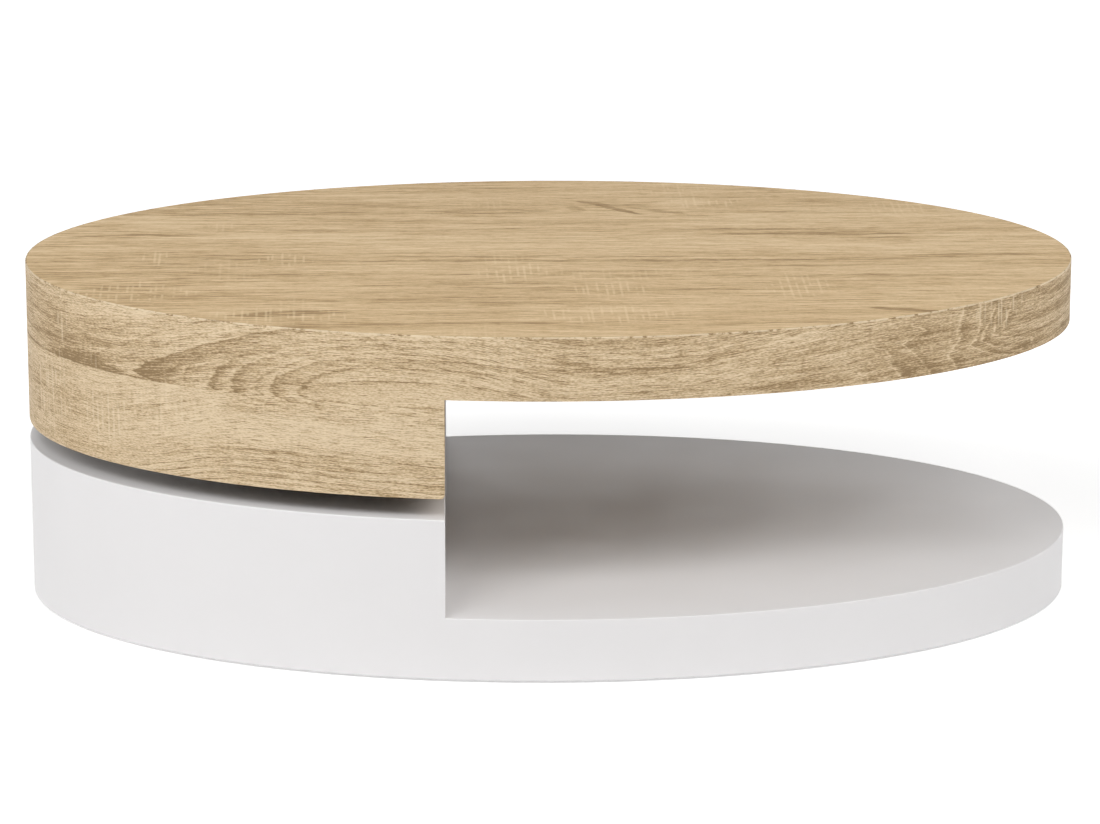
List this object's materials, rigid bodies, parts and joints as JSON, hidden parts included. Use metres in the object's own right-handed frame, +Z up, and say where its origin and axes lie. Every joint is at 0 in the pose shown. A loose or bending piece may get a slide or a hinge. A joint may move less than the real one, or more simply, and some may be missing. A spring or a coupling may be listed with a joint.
{
  "type": "swivel coffee table",
  "caption": "Low oval coffee table whose oak-decor top half swivels on a ball race over a matching white base half, with an open shelf between them",
  "frame": {"origin": "on the floor under the centre of the oval", "axes": "+X along the length towards the open shelf end, +Y to the rear, +Z up"},
  "size_m": [1, 0.6, 0.33],
  "materials": {
    "oak_decor": "matt sawn-oak decor",
    "white_lacquer": "satin white lacquer on fibreboard",
    "raw_fibreboard": "raw fibreboard",
    "beech": "fluted beech, plain",
    "race_aluminium": "plain turned aluminium",
    "zinc_steel": "zinc-plated steel",
    "nylon": "natural nylon",
    "glide_plastic": "matt polyethylene"
  },
  "bodies": {
    "base": {"base_bottom_panel": "white_lacquer", "base_frame_ring": "white_lacquer", "base_rail_front": "raw_fibreboard", "base_rail_rear": "raw_fibreboard", "base_cross_rib_inner": "raw_fibreboard", "base_cross_rib_outer": "raw_fibreboard", "shelf_panel": "white_lacquer", "pedestal_wall": "white_lacquer", "pedestal_face_panel": "white_lacquer", "pedestal_top_panel": "white_lacquer", "pedestal_rib_front": "raw_fibreboard", "pedestal_rib_rear": "raw_fibreboard", "pedestal_dowels": "beech", "floor_glides": "glide_plastic", "glide_screws": "zinc_steel", "bottom_panel_screws": "zinc_steel", "lower_race_ring": "race_aluminium", "lower_race_screws": "zinc_steel", "pivot_bolt": "zinc_steel", "pivot_washers": "zinc_steel", "pivot_lock_nut": "zinc_steel"},
    "cage": {"ball_cage": "nylon", "bearing_balls": "zinc_steel"},
    "top": {"top_panel": "oak_decor", "top_edge_band": "oak_decor", "top_frame_ring": "raw_fibreboard", "top_rail_front": "raw_fibreboard", "top_rail_rear": "raw_fibreboard", "top_cross_rib_inner": "raw_fibreboard", "top_cross_rib_outer": "raw_fibreboard", "overhang_soffit": "oak_decor", "drop_wall": "raw_fibreboard", "drop_face_panel": "oak_decor", "drop_bottom_panel": "oak_decor", "drop_rib_front": "raw_fibreboard", "drop_rib_rear": "raw_fibreboard", "drop_dowels": "beech", "upper_race_ring": "race_aluminium", "upper_race_screws": "zinc_steel", "pivot_bush": "nylon"}
  },
  "joints": [
    {"name": "top_swivel", "type": "hinge", "parent": "base", "child": "top", "pos_m": [-0.3, 0, 0.166], "axis": [0, 0, 1], "continuous": true},
    {"name": "cage_roll", "type": "hinge", "parent": "base", "child": "cage", "pos_m": [-0.3, 0, 0.166], "axis": [0, 0, 1], "continuous": true}
  ],
  "couplings": [
    {"joint": "cage_roll", "follows": "top_swivel", "ratio": 0.5}
  ]
}
